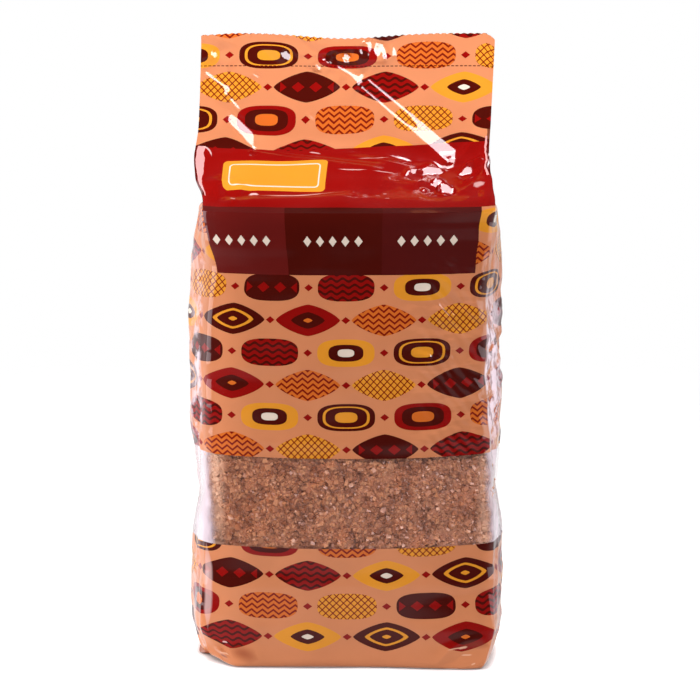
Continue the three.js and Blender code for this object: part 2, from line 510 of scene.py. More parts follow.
# Each panel's half width, its middle round the film, and where its points go.
PANELS = {
    "front": (FRONT_HALF, 0.0, lambda across, up: front_point(across, up, -1)),
    "right": (GUSSET_HALF, HALF_ROUND / 2, lambda across, up: gusset_point(across, up, 1)),
    "back": (FRONT_HALF, HALF_ROUND, lambda across, up: front_point(-across, up, 1)),
    "left": (GUSSET_HALF, -HALF_ROUND / 2, lambda across, up: gusset_point(-across, up, -1)),
}


# ---- Making pieces ----
def only(piece):
    """Selects one piece and nothing else."""
    bpy.ops.object.select_all(action="DESELECT")
    piece.select_set(True)
    bpy.context.view_layer.objects.active = piece


def move_points(piece, points):
    metres = np.stack(points, axis=1) * MM
    piece.data.vertices.foreach_set("co", metres.astype(np.float32).ravel())
    piece.data.update()


def read_points(piece):
    flat = np.empty(len(piece.data.vertices) * 3, np.float32)
    piece.data.vertices.foreach_get("co", flat)
    return flat.reshape(-1, 3).astype(float)


def write_map(piece, name, u, v):
    """Gives the piece a UV map from values at its vertices."""
    layer = piece.data.uv_layers.new(name=name)
    corners = np.empty(len(piece.data.loops), np.int32)
    piece.data.loops.foreach_get("vertex_index", corners)
    places = np.stack([u, v], axis=1)[corners]
    layer.data.foreach_set("uv", places.astype(np.float32).ravel())


def cut_sheet(name, columns, rows):
    """A flat sheet with so many columns and rows, and its places across (-1 to 1) and up (0 to 1)."""
    bpy.ops.mesh.primitive_grid_add(
        x_subdivisions=columns, y_subdivisions=rows, size=2, calc_uvs=False
    )
    sheet = bpy.context.active_object
    sheet.name = sheet.data.name = name
    flat = read_points(sheet)
    return sheet, flat[:, 0], (flat[:, 1] + 1) / 2


def film_sheet(name, panel, low, high, map_box=(0, 0, 1, 1), step=FILM_STEP):
    """Film from low to high up a panel, in its place. map_box is its corners in the bake map."""
    half_width, centre, place = PANELS[panel]
    columns = round(2 * half_width / step)
    rows = round((high - low) / step)
    sheet, across, share = cut_sheet(name, columns, rows)
    up = blend(low, high, share)
    teeth = TOOTH_DEPTH * np.cos(2 * math.pi * across * half_width / TOOTH_PITCH)
    up = np.where(up > FILM_TOP - step / 2, up + teeth - TOOTH_BACK, up)
    move_points(sheet, place(across, up))
    write_map(sheet, "Film", (centre + across * half_width) / 100, up / 100)
    u0, v0, u1, v1 = map_box
    write_map(sheet, "OFBake", blend(u0, u1, (across + 1) / 2), blend(v0, v1, share))
    return sheet


def join(name, parts):
    """Makes several pieces one."""
    whole = parts[0]
    only(whole)
    for part in parts:
        part.select_set(True)
    bpy.ops.object.join()
    whole.name = whole.data.name = name
    return whole


def face_down(sheet):
    """Turns a sheet over, as it is cut facing up."""
    only(sheet)
    bpy.ops.object.mode_set(mode="EDIT")
    bpy.ops.mesh.select_all(action="SELECT")
    bpy.ops.mesh.flip_normals()
    bpy.ops.object.mode_set(mode="OBJECT")


def finish_piece(piece, material, smooth_degrees=40):
    """Gives a piece its material and its place in the frame."""
    piece.data.materials.clear()
    piece.data.materials.append(material)
    only(piece)
    bpy.ops.object.shade_smooth_by_angle(angle=math.radians(smooth_degrees))
    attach(piece, "root")
    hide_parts("bag")


def printed_panel(panel):
    """One panel of printed film: the part above the clear band and the part below it."""
    step = (FILM_TOP - WINDOW_HIGH) / FRONT_ROWS if panel == "front" else FILM_STEP
    upper = film_sheet("upper", panel, WINDOW_HIGH, FILM_TOP, (0, 0.23, 1, 1), step)
    lower = film_sheet("lower", panel, 0, WINDOW_LOW, (0, 0, 1, 0.215), step)
    return join(f"film_{panel}", [upper, lower])


def base_panel():
    """The flat block bottom, drawn up a little inside its edge, with the envelope folds of the
    gussets as a step at its two ends."""
    sheet, across, share = cut_sheet("film_base", 120, 70)
    deep = 2 * share - 1
    ground = np.zeros_like(across)
    crease_right, crease_y, belly, gusset = section(ground, 1)
    crease_x = np.where(across < 0, section(ground, -1)[0], crease_right)
    x = across * (crease_x + gusset * (1 - deep**2))
    y = deep * (crease_y + panel_depth(across, ground, belly))
    inside = smooth(1 - np.maximum(np.abs(across), np.abs(deep)), 0, 0.1)
    envelope = np.abs(x) - (crease_x - crease_y * 0.95) - np.abs(y)
    z = (0.9 - 0.35 * smooth(envelope, -0.6, 0.6)) * inside
    move_points(sheet, settle(x, y, z))
    write_map(sheet, "Film", x / 100, (y - 40) / 100)
    write_map(sheet, "OFBake", (across + 1) / 2, share)
    face_down(sheet)
    return sheet


def back_seal(name, low, high, film_middle=SEAL_PRINT, stretch=1.0):
    """The lap where the film's two long edges are sealed together, down the back. Its own measure
    round the bag starts at film_middle and may be stretched."""
    sheet, across, share = cut_sheet(name, 14, round((high - low) / FILM_STEP))
    up = blend(low, high, share)
    shift = across * SEAL_WIDTH / 2 - SEAL_OFF_MIDDLE
    x, y, z = front_point(-shift / FRONT_HALF, up, 1)
    y = y + SEAL_LIFT * (1 - across**8) + 0.08
    move_points(sheet, (x, y, z))
    write_map(sheet, "Film", (film_middle + shift * stretch) / 100, (up + 0.4) / 100)
    write_map(sheet, "OFBake", (across + 1) / 2, up / FILM_TOP)
    return sheet


def base_seal():
    """The seal across the block bottom, pressed flat against it."""
    sheet, across, share = cut_sheet("base_seal", 110, 10)
    deep = 2 * share - 1
    z = 0.42 + 0.12 * np.sin(across * 9) - 0.2 * (1 - deep**6)
    move_points(sheet, (across * 46, deep * 5 + 4, z))
    write_map(sheet, "Film", across * 0.46, (deep * 5 - 48) / 100)
    write_map(sheet, "OFBake", (across + 1) / 2, share)
    face_down(sheet)
    return sheet


# ---- The sugar ----
def sugar_outline(turn, up):
    """A point on the sugar's wall. turn goes once round the bag from 0 to 1, front first."""
    shown = within(up, WINDOW_LOW - 8, WINDOW_LOW - 3, WINDOW_HIGH + 3, WINDOW_HIGH + 8)
    low_down = smooth(up, WINDOW_LOW + 4, WINDOW_LOW - 1)
    gap = blend(SUGAR_GAP_HIDDEN, blend(SUGAR_GAP, SUGAR_GAP_LOW, low_down), shown)
    left_nearer = blend(*SUGAR_LEFT_NEARER, smooth(up, WINDOW_LOW, WINDOW_HIGH))
    share = turn * 4
    panel = np.floor(share) % 4
    across = 2 * (share - np.floor(share)) - 1
    crease_right, crease_y, belly, _ = section(up, 1)
    crease_left = section(up, -1)[0]
    crease_right = crease_right - gap + SUGAR_RIGHT_NEARER * shown
    crease_left = crease_left - gap + left_nearer * shown
    crease_y = crease_y - gap
    # The back and the left are as the front and the right, turned half round.
    half_turn = np.where(panel < 2, 1, -1)
    broad_x = np.abs(across) * np.where(across * half_turn < 0, -crease_left, crease_right)
    broad_y = -(crease_y + panel_depth(across, up, belly))
    side_x = half_turn * np.where(panel == 1, crease_right, crease_left)
    side_x += half_turn * SUGAR_SIDE_BELLY * (1 - across**2)
    broad = panel % 2 == 0
    x = np.where(broad, broad_x, side_x)
    y = half_turn * np.where(broad, broad_y, across * crease_y)
    return settle(x, y, rise(up)[0])


def sugar_relief(x, y, z):
    """Clumps of sugar that stand out of the wall, with cracks between them."""
    around = np.where(np.abs(y) > 22, x, y)
    cracks = np.exp(-((ripple(around, z, 82, 9, 1.0, 9) / 0.3) ** 2))
    small_cracks = np.exp(-((ripple(around, z, 83, 4, 1.0, 9) / 0.4) ** 2))
    return 0.3 - 0.8 * cracks - 0.5 * small_cracks + ripple(around, z, 81, 11, 0.3, 9)


def sugar_wall(turn, up):
    """A point on the sugar's wall with its clumps."""
    x, y, z = sugar_outline(turn, up)
    dent = np.clip(sugar_relief(x, y, z), -1.8, 0.35)
    reach = np.hypot(x, y * 1.6)
    return x * (1 + dent / reach), y * (1 + 1.6 * dent / reach), z


def sugar_core():
    """The filling, a closed solid whose wall is fine enough for its clumps where it shows."""
    sheet, across, share = cut_sheet("sugar_core", 480, 110)
    zones = (2.5, WINDOW_LOW - 8, WINDOW_HIGH + 8, SUGAR_TOP)
    up = np.interp(share, (0, 0.12, 0.85, 1), zones)
    move_points(sheet, sugar_wall((across + 1) / 2 % 1, up))
    only(sheet)
    bpy.ops.object.mode_set(mode="EDIT")
    bpy.ops.mesh.select_all(action="SELECT")
    bpy.ops.mesh.remove_doubles(threshold=0.02 * MM)
    bpy.ops.mesh.select_all(action="DESELECT")
    bpy.ops.mesh.select_non_manifold()
    bpy.ops.mesh.edge_face_add()
    bpy.ops.mesh.select_all(action="SELECT")
    bpy.ops.mesh.normals_make_consistent(inside=False)
    bpy.ops.object.mode_set(mode="OBJECT")
    return sheet


def sugar_grains():
    """Loose crystals all over the sugar's wall where the clear band shows it."""
    draw = np.random.default_rng(GRAIN_SEED)
    columns = round(SUGAR_ROUND / GRAIN_PITCH)
    rows = round((WINDOW_HIGH - WINDOW_LOW + 3) / GRAIN_PITCH)
    column, row = np.meshgrid(np.arange(columns), np.arange(rows))
    count = column.size
    turn = (column.ravel() + draw.uniform(-0.5, 0.5, count)) / columns % 1
    up = WINDOW_LOW - 1.5 + (row.ravel() + draw.uniform(0, 1, count)) * GRAIN_PITCH
    x, y, z = sugar_wall(turn, up)
    centre = np.stack([x, y, z], axis=1)
    outward = np.stack([x, y * 2.5, np.zeros(count)], axis=1)
    outward = outward / np.linalg.norm(outward, axis=1, keepdims=True)
    shown = within(up, WINDOW_LOW - 0.5, WINDOW_LOW + 1.5, WINDOW_HIGH - 1, WINDOW_HIGH)
    sunk = 0.6 * (1 - shown[:, None])
    centre = centre + outward * (draw.uniform(-0.52, 0.04, (count, 1)) - sunk)

    bpy.ops.mesh.primitive_cube_add(size=1)
    crystal = bpy.context.active_object
    corners = read_points(crystal)
    faces = np.array([list(face.vertices) for face in crystal.data.polygons])
    bpy.data.objects.remove(crystal)

    size = draw.lognormal(math.log(GRAIN_SIZE), GRAIN_SPREAD, (count, 1, 1))
    size = size * draw.uniform(0.65, 1.15, (count, 1, 3))
    shapes = corners[None] * size * draw.uniform(0.75, 1.15, (count, 8, 3))
    spin = draw.normal(size=(count, 1, 4))
    spin = spin / np.linalg.norm(spin, axis=2, keepdims=True)
    turn_share, axis = spin[..., :1], spin[..., 1:]
    crossed = np.cross(axis, shapes)
    shapes = shapes + 2 * (turn_share * crossed + np.cross(axis, crossed))
    points = shapes + centre[:, None]
    all_faces = (faces[None] + 8 * np.arange(count)[:, None, None]).reshape(-1, 4)
    mesh = bpy.data.meshes.new("sugar_grains")
    mesh.from_pydata((points.reshape(-1, 3) * MM).tolist(), [], all_faces.tolist())
    grains = bpy.data.objects.new("sugar_grains", mesh)
    bpy.context.collection.objects.link(grains)

    tone = mesh.attributes.new("Tone", "FLOAT", "POINT")
    tone.data.foreach_set("value", np.repeat(draw.uniform(0, 1, count), 8).astype(np.float32))

    # The bake map has a square for each crystal, and its six faces lie in it in two rows.
    side = math.ceil(math.sqrt(count))
    cell = np.stack([np.arange(count) % side, np.arange(count) // side], axis=1)
    face_cell = np.array([[i % 3, i // 3] for i in range(6)])
    quad = np.array([[0.08, 0.08], [0.92, 0.08], [0.92, 0.92], [0.08, 0.92]])
    inner = (face_cell[:, None] + quad[None]) / np.array([3, 2])
    uv = (cell[:, None, None] + 0.04 + 0.92 * inner[None]) / side
    layer = mesh.uv_layers.new(name="OFBake")
    layer.data.foreach_set("uv", uv.astype(np.float32).ravel())
    return grains


# ---- Materials ----
def ink(red, green, blue):
    """A colour given as 0-255 screen values, as the linear values that a shader takes."""
    def linear(value):
        share = value / 255
        return share / 12.92 if share <= 0.04045 else ((share + 0.055) / 1.055) ** 2.4

    return (linear(red), linear(green), linear(blue), 1.0)


class Value:
    """A number that varies over a surface. Arithmetic on it adds Math nodes."""

    def __init__(self, finish, socket):
        self.finish = finish
        self.socket = socket

    def math(self, operation, *others):
        return self.finish.value("Math", dict(enumerate((self, *others))), operation=operation)

    def __rsub__(self, other):
        return self.math("MULTIPLY", -1) + other

    __add__ = __radd__ = partialmethod(math, "ADD")
    __sub__ = partialmethod(math, "SUBTRACT")
    __mul__ = __rmul__ = partialmethod(math, "MULTIPLY")
    __truediv__ = partialmethod(math, "DIVIDE")
    __mod__ = partialmethod(math, "FLOORED_MODULO")
    __pow__ = partialmethod(math, "POWER")
    __lt__ = partialmethod(math, "LESS_THAN")
    __gt__ = partialmethod(math, "GREATER_THAN")
    __abs__ = partialmethod(math, "ABSOLUTE")
    floor = partialmethod(math, "FLOOR")


class Finish:
    """The nodes of a material or of the world, under construction."""

    def __init__(self, name, world=None):
        self.owner = world or bpy.data.materials.new(name)
        self.owner.use_nodes = True
        self.tree = self.owner.node_tree
        self.shader = self.tree.nodes["Background" if world else "Principled BSDF"]

    def node(self, kind, values=None, **settings):
        """Adds a node, sets its settings first, and then links or sets its sockets."""
        node = self.tree.nodes.new("ShaderNode" + kind)
        for name, setting in settings.items():
            setattr(node, name, setting)
        for name, value in (values or {}).items():
            self.feed(node.inputs[name], value)
        return node

    def feed(self, socket, value):
        if isinstance(value, Value):
            value = value.socket
        if isinstance(value, bpy.types.NodeSocket):
            self.tree.links.new(value, socket)
        else:
            socket.default_value = value

    def value(self, kind, values=None, output=0, **settings):
        return Value(self, self.node(kind, values, **settings).outputs[output])

    def ramp(self, value, start, end, low=0.0, high=1.0):
        """low up to start, high from end on, eased between. The end may be the lower one."""
        values = {"Value": value, "From Min": start, "From Max": end, "To Min": low, "To Max": high}
        return self.value("MapRange", values, interpolation_type="SMOOTHSTEP")

    def colour(self, share, low, high):
        """low where share is 0, high where it is 1."""
        values = {"Factor": share, 6: low, 7: high}
        return self.node("Mix", values, data_type="RGBA").outputs[2]

    def place(self):
        """Where a point is on the bag, in metres."""
        return self.node("TexCoord").outputs["Object"]

    def film_place(self):
        """How far across and up the film a point is, in millimetres."""
        u, v, _ = self.split(self.node("UVMap", uv_map="Film").outputs[0])
        return u * 100, v * 100

    def split(self, vector):
        """The three parts of a vector."""
        parts = self.node("SeparateXYZ", {"Vector": vector})
        return [Value(self, out) for out in parts.outputs]

    def noise(self, vector, scale, detail=2.0, roughness=0.5):
        values = {"Vector": vector, "Scale": scale, "Detail": detail, "Roughness": roughness}
        return self.value("TexNoise", values)

    def set(self, **values):
        """Sets the shader's sockets, whose names have _ for a space."""
        for name, value in values.items():
            self.feed(self.shader.inputs[name.replace("_", " ")], value)


PEACH = ink(222, 142, 96)
RED = ink(150, 12, 8)
DARK = ink(79, 13, 5)
PLUM = ink(104, 24, 20)
MAROON = ink(86, 19, 16)
YELLOW = ink(238, 157, 44)
ORANGE = ink(222, 112, 38)
RUST = ink(134, 28, 12)
CREAM = ink(240, 225, 205)

# Painted light on the film: a painted highlight along a crease, over the shoulder and over the sugar,
# and painted shade where a hollow lies.
PAINTED_HIGHLIGHT = ink(244, 202, 196)
PAINTED_HIGHLIGHT_PEACH = ink(250, 196, 162)
PAINTED_SHADE = ink(140, 56, 34)

# Small creases of the front, painted on as painted highlights and painted shade: start, end, bow, half
# width, strength and tone. First the shoulder's, then those of the right foot and of the left foot,
# and the pale band of painted highlight up the left edge.
PAINTED_CREASE_LIGHTS = (
    ((-34.5, 177.7), (-1.0, 180.2), -1.0, 0.30, 0.8, PAINTED_HIGHLIGHT),
    ((-36.2, 178.0), (-31.6, 178.0), 0.6, 0.65, 0.95, PAINTED_HIGHLIGHT),
    ((-3.0, 190.9), (9.0, 190.4), -0.3, 0.28, 0.7, PAINTED_HIGHLIGHT),
    ((10.0, 189.9), (19.8, 189.1), 0.3, 0.25, 0.6, PAINTED_HIGHLIGHT),
    ((4.0, 197.2), (18.0, 198.2), -0.3, 0.25, 0.55, PAINTED_HIGHLIGHT),
    ((-13.0, 200.4), (-8.0, 199.4), 0.2, 0.30, 0.7, PAINTED_HIGHLIGHT),
    ((-52.0, 203.0), (-47.6, 197.6), 1.2, 0.40, 0.8, PAINTED_HIGHLIGHT),
    ((-43.5, 176.6), (-41.0, 175.2), 0.3, 0.50, 0.6, PAINTED_HIGHLIGHT),
    ((46.6, 182.2), (51.6, 184.6), 0.5, 1.60, 0.6, PAINTED_HIGHLIGHT),
    ((40.4, 8.4), (55.0, 8.0), 1.2, 2.20, 0.6, PAINTED_SHADE),
    ((37.0, 7.5), (45.2, 8.4), 0.2, 0.34, 0.75, PAINTED_HIGHLIGHT_PEACH),
    ((41.6, 7.9), (45.6, 8.6), 0.1, 0.62, 0.75, PAINTED_HIGHLIGHT_PEACH),
    ((43.2, 5.4), (48.4, 5.5), 0.0, 0.36, 0.8, PAINTED_HIGHLIGHT_PEACH),
    ((48.6, 1.9), (50.4, 2.6), 0.0, 0.40, 0.8, PAINTED_HIGHLIGHT_PEACH),
    ((-45.0, 6.4), (-32.0, 2.8), 0.8, 4.00, 0.6, PAINTED_SHADE),
    ((-49.0, 2.5), (-44.2, 2.8), 0.2, 0.90, 0.9, PAINTED_SHADE),
    ((-49.6, 3.2), (-43.4, 3.6), 0.9, 0.35, 0.8, PAINTED_HIGHLIGHT_PEACH),
    ((-46.9, 8.5), (-44.2, 8.7), 0.3, 0.45, 0.9, PAINTED_HIGHLIGHT),
    ((-53.6, 48.0), (-51.4, 12.0), 0.9, 1.90, 0.6, PAINTED_HIGHLIGHT),
)


def between(value, low, high):
    return (value > low) * (value < high)


def facing_place(across):
    """How far round the film is from the middle of the front or of the back, whichever is nearer."""
    return (across + 2.5 * HALF_ROUND) % HALF_ROUND - HALF_ROUND / 2


def motif_colour(f, across, up, ground):
    """Rows of lozenges and ovals in half drop, each filled with lines, a lattice or a nested shape."""
    row = ((up - MOTIFS_FROM) / MOTIF_ROW).floor()
    odd = row % 2
    shifted = (across + MOTIFS_SHIFT + odd * (MOTIF_PITCH / 2)) / MOTIF_PITCH
    column = shifted.floor()
    x = (shifted - column - 0.5) * MOTIF_PITCH
    y = ((up - MOTIFS_FROM) / MOTIF_ROW - row - 0.5) * MOTIF_ROW
    ax = abs(x)
    ay = abs(y)
    lozenge = (ax / LOZENGE_HALF[0]) ** 1.35 + (ay / LOZENGE_HALF[1]) ** 1.35
    oval = (ax / OVAL_HALF[0]) ** 2.8 + (ay / OVAL_HALF[1]) ** 2.8
    size = blend(lozenge, oval, odd)
    kind = (column * 3 + row * 2) % 7

    waves = ((y + (x * (2 * math.pi / 4.6)).math("SINE") * 0.55) % 2.3) < 0.95
    chevrons = ((y + abs((x + 40) % 4 - 2) * 0.8) % 2.1) < 0.85
    rising, falling = [abs(slant / 2.6 % 1 - 0.5) > 0.39 for slant in (x + y, x - y)]
    lattice = rising.math("MAXIMUM", falling)
    beads = ((abs((x + 33) % 6.6 - 3.3) / 2.4 + ay / 1.9) < 1) * (ax < 9.9)
    outline = between(size, 0.4, 0.56).math("MAXIMUM", size < 0.07)

    fills = [
        f.colour(outline, DARK, YELLOW),
        f.colour(waves, RED, DARK),
        f.colour(lattice, YELLOW, RUST),
        f.colour(size < 0.07, f.colour(size < 0.42, RED, DARK), ORANGE),
        f.colour(size < 0.1 - odd * 0.07, f.colour(size < 0.4 - odd * 0.15, YELLOW, DARK), CREAM),
        f.colour(beads, DARK, RED),
        f.colour(chevrons, ORANGE, RUST),
    ]
    picked = fills[0]
    for index, fill in enumerate(fills[1:], 1):
        picked = f.colour(between(kind, index - 0.5, index + 0.5), picked, fill)

    accent = (((MOTIF_PITCH / 2 - ax) / 1.7) + ay / 1.3) < 1
    return f.colour(size < 1, f.colour(accent, ground, RED), picked)


def label_colour(f, across, up, tone):
    """The print's tone with the bare label and the line round it."""
    x = abs(across - LABEL_MIDDLE[0] - (up - LABEL_MIDDLE[1]) * LABEL_LEAN)
    y = abs(up - LABEL_MIDDLE[1])
    off_core, off_line_core = [
        (x - core[0]).math("MAXIMUM", 0) ** 2 + (y - core[1]).math("MAXIMUM", 0) ** 2
        for core in (LABEL_CORE, LABEL_LINE_CORE)
    ]
    tone = f.colour(off_core < 3.2, tone, YELLOW)
    return f.colour(between(off_line_core, 1.4, 2.9), tone, CREAM)


def print_colour(f, across, up, with_label):
    """All the inks of the film, from its own measure across and up."""
    colour = f.colour(up > MOTIFS_FROM, PEACH, motif_colour(f, across, up, PEACH))

    facing = facing_place(across)
    field = between(up, FIELD_LOW, FIELD_HIGH)
    left_end = (FIELD_HIGH - up) * FIELD_SLANT + FIELD_LEFT
    whole = field * between(facing, left_end, FIELD_RIGHT)
    colour = f.colour(whole, colour, f.colour(facing < FIELD_SPLITS[1], MAROON, PLUM))
    colour = f.colour(field * between(facing, *FIELD_SPLITS), colour, DARK)

    row_half, step_half = DIAMONDS_PITCH / 2, DIAMOND_PITCH / 2
    row_x = abs((facing - DIAMONDS_MIDDLE + row_half) % DIAMONDS_PITCH - row_half)
    x = abs((row_x + step_half) % DIAMOND_PITCH - step_half)
    y = abs(up - DIAMONDS_UP)
    diamonds = ((x / DIAMOND_HALF[0] + y / DIAMOND_HALF[1]) < 1) * (row_x < DIAMONDS_HALF)
    colour = f.colour(diamonds * whole, colour, CREAM)

    colour = f.colour(between(up, FIELD_HIGH, RED_HIGH), colour, RED)
    if with_label:
        colour = label_colour(f, across, up, colour)
    dash = ((across + 2.5 * HALF_ROUND) % DASH_PITCH) < DASH_LENGTH
    return f.colour(between(up, TEAR_LINE - 0.17, TEAR_LINE + 0.17) * dash, colour, DARK)


def crush_white_and_painted_light(f, place, across, up, tone):
    """A tone of the film's sides with patches of crushed white film and painted highlight, with greys
    of painted shade among them, along the creases of the gussets and more of them at the right."""
    crush = f.noise(place, 130, 4, 0.6)
    around = abs(facing_place(across))
    at_right = f.split(place)[0] > 0
    right = f.ramp(around, 53.5, 55) * f.ramp(abs(up - 110), 16, 36, 1.0, 0.15)
    left = f.ramp(around, 55.5, 60) * f.ramp(abs(up - 104), 8, 40, 0.8, 0.3)
    right = right * f.ramp(crush, 0.38, 0.52, 0.0, 0.95)
    left = left * f.ramp(crush, 0.44, 0.56)
    below_shoulder = f.ramp(up, 160, 150)
    share = blend(left, right, at_right) * below_shoulder * f.ramp(around + crush * 14, 84, 70)
    drawn_up = f.node("Mapping", {"Vector": place, "Scale": (1, 1, 0.4)})
    grey_painted_shade = f.ramp(f.noise(drawn_up.outputs[0], 330, 3, 0.6), 0.5, 0.6, 0.0, 0.75)
    # White of crushed film and painted highlight, greys of painted shade.
    return f.colour(share, tone, f.colour(grey_painted_shade, ink(238, 222, 230), ink(142, 108, 108)))


def painted_ear_highlight_and_shade(f, place, across, up, tone):
    """The print's tone with painted light at the folded edges of the shoulders' ears: a pale band of
    painted highlight beside each, broad at the left and thin at the right, and a dark line of painted
    shade outside it."""
    around = abs(facing_place(across))
    edge = around + f.noise(place, 160, 3) * 2.2
    at_right = f.split(place)[0] > 0
    ears = blend(between(up, 177, 203), between(up, 188, 209), at_right)
    broad = between(edge, f.ramp(up, 179, 196, 53.4, 51.6), f.ramp(up, 179, 186, 54.0, 54.4))
    thin = between(edge, 53.3, 54.0) * (up < 205)
    # Painted highlight in the pale band, painted shade in the dark line outside it.
    ear_painted_highlight = ears * blend(broad, thin, at_right)
    ear_painted_shade = ears * (edge > 53.8) * between(around, 52, 54.5)
    return f.colour(ear_painted_highlight * 0.9, f.colour(ear_painted_shade * 0.8, tone, DARK), ink(240, 176, 172))


def painted_crease_light_and_shade(f, across, up, tone):
    """The print's tone with the front's small creases, painted on as painted highlights and painted
    shade. They thin out towards their ends. Painted shade fades out from its middle, a painted
    highlight has an even core."""
    for start, end, bow, half_width, strength, painted_tone in PAINTED_CREASE_LIGHTS:
        along, off = along_line(across, up, start, end)
        off = abs(off - along * (1 - along) * (4 * bow))
        width = f.ramp(abs(along - 0.5), 0.2, 0.5, half_width, 0.01)
        core = 0.0 if painted_tone is PAINTED_SHADE else 0.4
        share = f.ramp(off, width * core, width, strength, 0.0) * between(along, 0, 1)
        share = share * f.ramp(abs(along - 0.5), 0.5, core / 2) ** 0.7
        tone = f.colour(share, tone, painted_tone)
    return tone


def painted_fold_highlight(f, place, facing, up):
    """How much paler the front is painted along the slanting folds at its right: a painted highlight
    for the sheen of those folds, where they also lift the film off the sugar. Squeezed places draw a
    noise out along the folds."""
    turn = (0, math.radians(-42), 0)
    values = {"Vector": place, "Rotation": turn, "Scale": (1, 1, 4)}
    drawn_out = f.node("Mapping", values).outputs[0]
    light = f.ramp(f.noise(drawn_out, 95, 2), 0.47, 0.6, 0.0, 0.075)
    light = light * f.ramp(facing, 14, 34) * f.ramp(facing, 54, 50)
    return light * f.ramp(abs(up - 112), 42, 20)


def red_edge_pull(f, facing, film_up):
    """How far the print is pulled up or down near the shoulder's red edge, where the fin's film is
    drawn askew: up towards the sides, least at the left of the middle."""
    pull = facing.math("MAXIMUM", -14) * 0.075 - 0.8 + (-25 - facing).math("MAXIMUM", 0) * 0.06
    pull = pull * f.ramp(abs(facing), 80, 64)
    return pull * (1 - abs(film_up - FIN_UP) / 11).math("MAXIMUM", 0)


def printed_film(name, with_label=False):
    """Glossy film, printed on its inner side: inks under a clear gloss, dimpled by the sugar. Below
    the shoulder the inks are darker, partly where sugar stands behind them and partly as painted
    shade, and less so towards the creases, where it doesn't touch the film, with painted light towards
    the left edge; the front also has painted highlights along its slanting folds at the right."""
    f = Finish(name)
    across, film_up = f.film_place()
    place = f.place()
    facing = facing_place(across)
    up = film_up - red_edge_pull(f, facing, film_up)
    # The ears get a painted highlight and painted shade.
    colour = painted_ear_highlight_and_shade(f, place, across, up, print_colour(f, across, up, with_label))
    # The front's small creases are painted highlights and painted shade.
    if with_label:
        colour = painted_crease_light_and_shade(f, across, film_up, colour)

    mottle = f.noise(place, 60, 3)
    x = f.split(place)[0]
    # Painted light and shade: darker below the shoulder, paler towards the left edge, near both
    # creases and along the folds at the right.
    sugar_dark_and_painted_light = f.ramp(x, -0.031, -0.048, 0.53, 0.68) + f.ramp(x, -0.0505, -0.055, 0.0, 0.14)
    sugar_dark_and_painted_light = sugar_dark_and_painted_light + f.ramp(x, 0.0485, 0.054, 0.0, 0.12) + painted_fold_highlight(f, place, facing, up)
    backing_and_painted_shade = f.ramp(up, SUGAR_TOP + 2, SHOULDER_Z + 11, sugar_dark_and_painted_light, 1.0)
    values = {"Color": colour, "Value": mottle * 0.12 + backing_and_painted_shade}
    shaded = f.node("HueSaturation", values).outputs[0]

    dimples = f.noise(place, 900, 2) * 0.6 + f.noise(place, 260, 2)
    values = {"Strength": 0.12, "Distance": 0.0004, "Height": dimples}
    relief = f.node("Bump", values).outputs[0]
    gloss = f.ramp(up, 3, 14, 0.35, 1.0) * f.ramp(abs(facing), 54, 58, 1.0, 0.7)
    f.set(Base_Color=crush_white_and_painted_light(f, place, across, up, shaded), Normal=relief)
    f.set(Roughness=mottle * 0.1 + 0.25, Specular_IOR_Level=0.05, IOR=1.5)
    f.set(Coat_Weight=gloss, Coat_Roughness=0.04, Coat_IOR=1.55)
    return f.owner


def clear_film():
    """Bare film: hardly there over the sugar, milky at the creases, where it is crushed and looks
    white, a whiteness that is partly a painted reflection of the film where it turns at the creases,
    and half clear again in the middle of the gussets."""
    f = Finish("clear_film")
    across, film_up = f.film_place()
    facing = facing_place(across)
    around = abs(facing)
    at_left = facing < 0
    crinkle = f.noise(f.place(), 170, 3)
    slack = at_left * f.ramp(film_up, WINDOW_LOW, WINDOW_HIGH, 2.5, 0.0)
    # Milky white at the creases: crushed film and painted reflection.
    milky_and_painted_reflection = f.ramp(around + slack + crinkle * 4, 53.0, 57.5, 0.0, 0.8)
    cleared = f.ramp(around + crinkle * 8, 64, 76, 0.0, 0.8) * (1 - at_left * 0.5)
    low_down = f.ramp(film_up, WINDOW_LOW + 14, WINDOW_LOW + 4, 0.0, 0.2)
    low_down = low_down * f.ramp(around, 54, 57)
    f.set(Base_Color=(0.78, 0.66, 0.72, 1), Roughness=crinkle * 0.2 + 0.12, IOR=1.5)
    f.set(Alpha=milky_and_painted_reflection * (1 - cleared) + low_down + 0.02, Coat_Weight=1.0, Coat_Roughness=0.04)
    return f.owner


def damp_sugar(f, place, share, low, high):
    """Sugar between two tones, darker and redder in damp clumps, amber in places at the left, paler
    and pinker low down at the right, and painted paler close to the creases, painted light against the
    shade that the milky film casts there."""
    clump = f.noise(place, 230, 3, 0.6)
    x, _, z = f.split(place)
    pale_low_right = f.ramp(x - z * 1.2, -0.12, -0.02, 0.0, 0.35)
    tone = f.colour(pale_low_right, f.colour(share, low, high), ink(166, 110, 82))
    amber = f.ramp(f.noise(place, 90, 2) - x * 1.2, 0.48, 0.62, 0.0, 0.2)
    tone = f.colour(amber, tone, ink(176, 96, 44))
    tone = f.colour(f.ramp(clump, 0.47, 0.62, 0.0, 0.6), tone, ink(108, 54, 28))
    # Painted light: paler close to the creases, against the milky film's shadow.
    edge = f.ramp(x, -0.0435, -0.0495, 0.0, 0.75) + f.ramp(x, 0.0465, 0.051, 0.0, 0.4)
    return f.colour(edge, tone, ink(240, 196, 164))


def core_sugar():
    f = Finish("core_sugar")
    place = f.place()
    grain = f.noise(place, 1300, 3, 0.6)
    tone = damp_sugar(f, place, grain, ink(132, 75, 46), ink(170, 108, 70))
    relief = f.node("Bump", {"Strength": 0.6, "Distance": 0.0005, "Height": grain})
    f.set(Base_Color=tone, Normal=relief.outputs[0], Roughness=0.6)
    return f.owner


